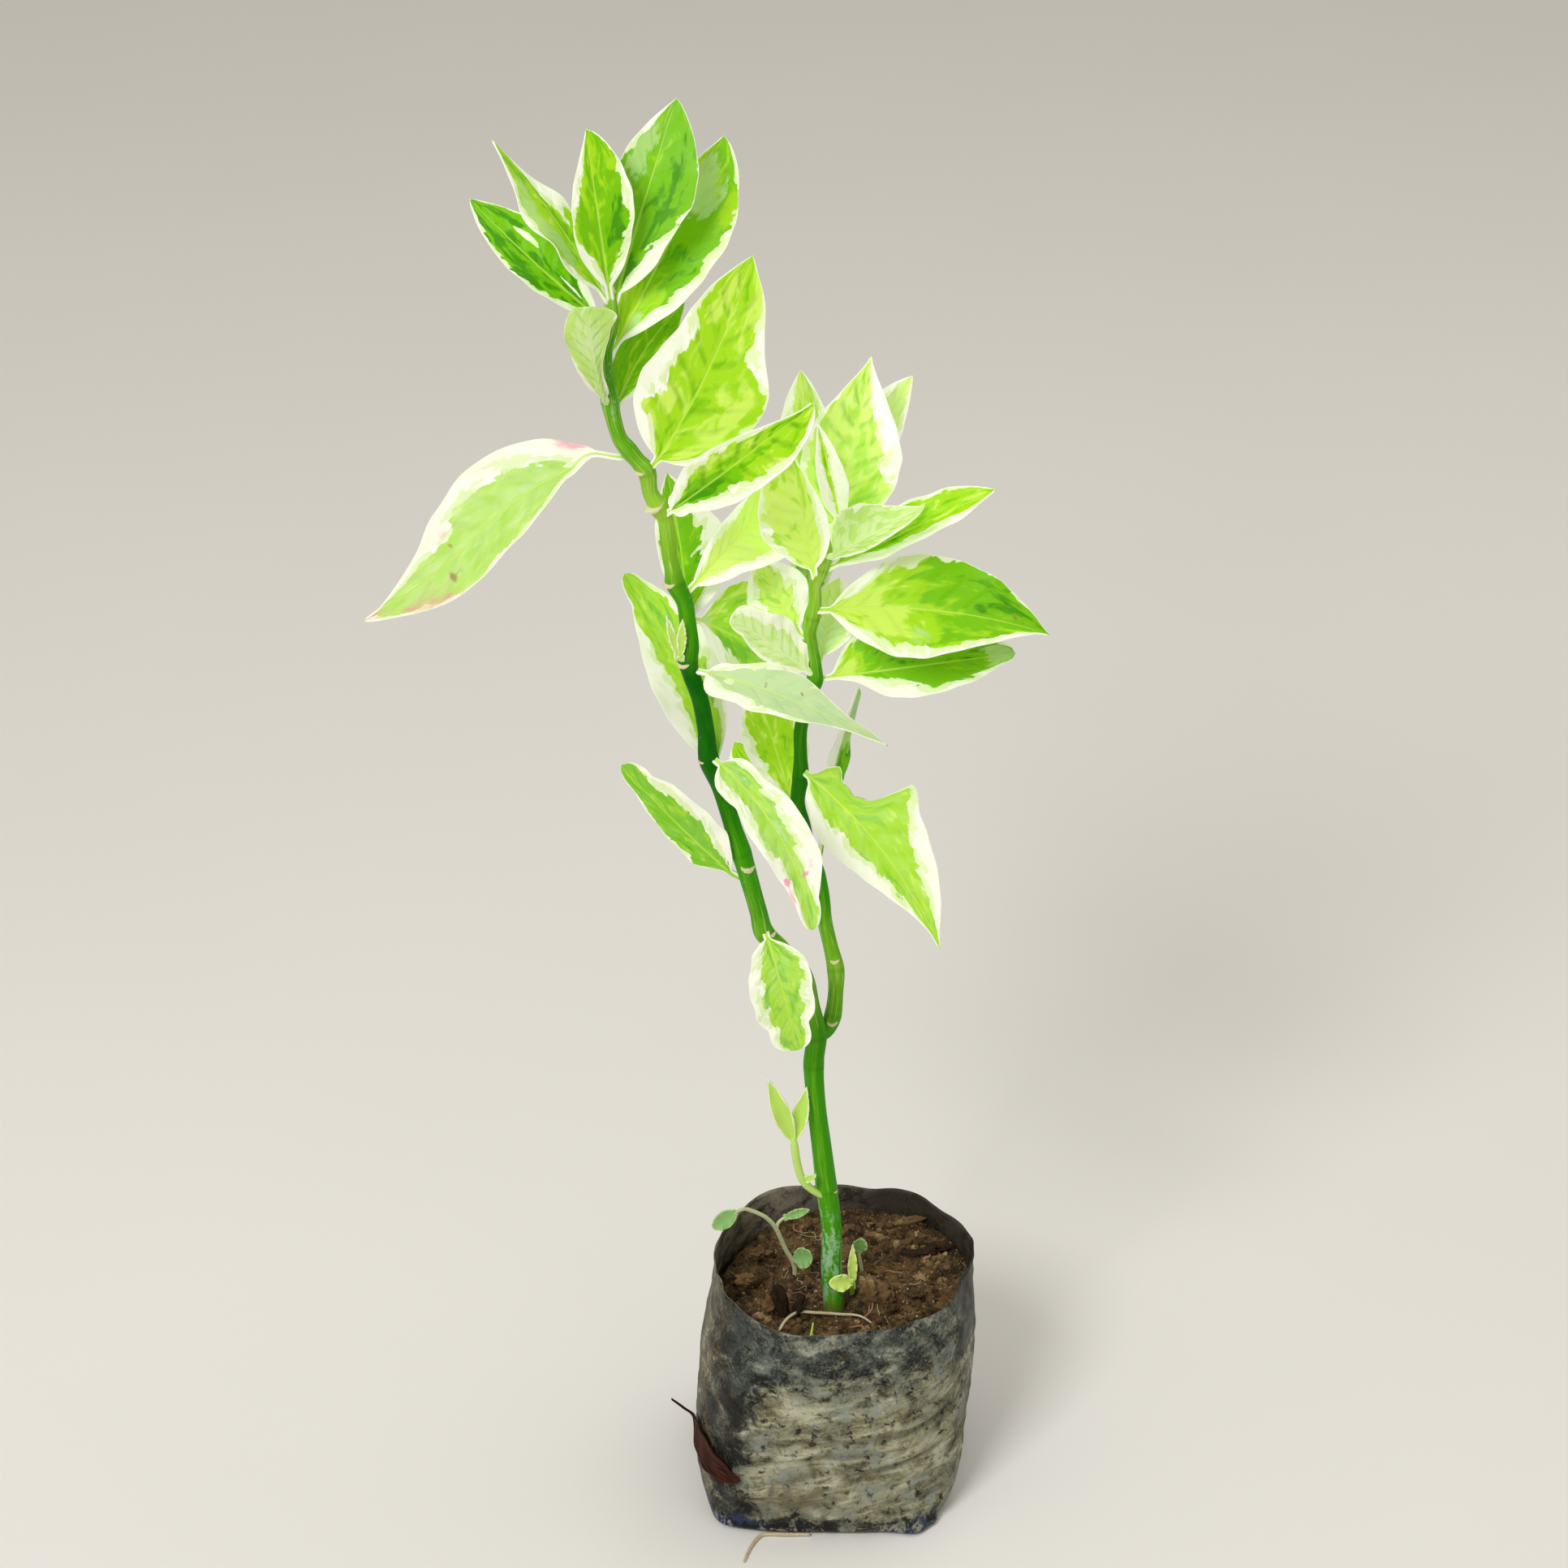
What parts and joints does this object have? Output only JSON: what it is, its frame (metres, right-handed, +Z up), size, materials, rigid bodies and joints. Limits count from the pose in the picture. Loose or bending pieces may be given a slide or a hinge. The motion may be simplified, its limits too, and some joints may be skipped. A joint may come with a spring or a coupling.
{
  "type": "potted devils backbone",
  "caption": "Young variegated devils backbone with a forked zigzag stem and pointed green and cream leaves, growing in a black plastic nursery bag of soil.",
  "frame": {"origin": "middle of the flat bottom of the bag, on the surface it stands on", "axes": "+Z up along the plant, -Y toward the side that the picture shows, +X to the right in it"},
  "size_m": [0.2362, 0.1191, 0.5552],
  "materials": {
    "bag_film": "matt film with dried mud",
    "soil": "crumbly earth",
    "stem_green": "smooth and waxy",
    "leaf_variegated": "satin, green and cream",
    "young_shoot": "satin",
    "weed_green": "satin",
    "pale_root": "dry fibre",
    "dry_leaf": "dry and brittle"
  },
  "bodies": {
    "root": {"grow_bag": "bag_film", "soil": "soil", "stem": "stem_green", "left_leaf_01_small_hanging": "leaf_variegated", "left_leaf_02_side": "leaf_variegated", "left_leaf_03_front_drooping": "leaf_variegated", "left_leaf_04_back_upright": "leaf_variegated", "left_leaf_05_pale_crossing": "leaf_variegated", "left_leaf_06_back_right": "leaf_variegated", "left_leaf_07_behind": "leaf_variegated", "left_leaf_08_centre": "leaf_variegated", "left_leaf_09_folded": "leaf_variegated", "left_leaf_10_broad": "leaf_variegated", "left_leaf_11_long_drooping": "leaf_variegated", "left_leaf_12_cupped": "leaf_variegated", "left_leaf_13_dark": "leaf_variegated", "left_top_leaf_1": "leaf_variegated", "left_top_leaf_2": "leaf_variegated", "left_top_leaf_3": "leaf_variegated", "left_top_leaf_4": "leaf_variegated", "left_top_leaf_5": "leaf_variegated", "right_leaf_01_edge_on": "leaf_variegated", "right_leaf_02_back": "leaf_variegated", "right_leaf_03_back_low": "leaf_variegated", "right_leaf_04_bitten": "leaf_variegated", "right_leaf_05_underside": "leaf_variegated", "right_leaf_06_lower": "leaf_variegated", "right_leaf_07_inner": "leaf_variegated", "right_leaf_08_broad": "leaf_variegated", "right_leaf_09_behind_stem": "leaf_variegated", "right_leaf_10_upright": "leaf_variegated", "right_leaf_11_folded": "leaf_variegated", "right_leaf_12_pale_front": "leaf_variegated", "right_leaf_13_pale_behind": "leaf_variegated", "right_top_bud_leaf": "leaf_variegated", "right_top_leaf_1": "leaf_variegated", "right_top_leaf_2": "leaf_variegated", "right_top_leaf_3": "leaf_variegated", "basal_shoot": "young_shoot", "node_shoot": "young_shoot", "soil_sprout": "young_shoot", "small_seedling": "weed_green", "weed_seedling": "weed_green", "rootlet": "pale_root", "grass_blade": "weed_green", "ground_root": "pale_root", "dead_leaf": "dry_leaf"}
  },
  "joints": []
}
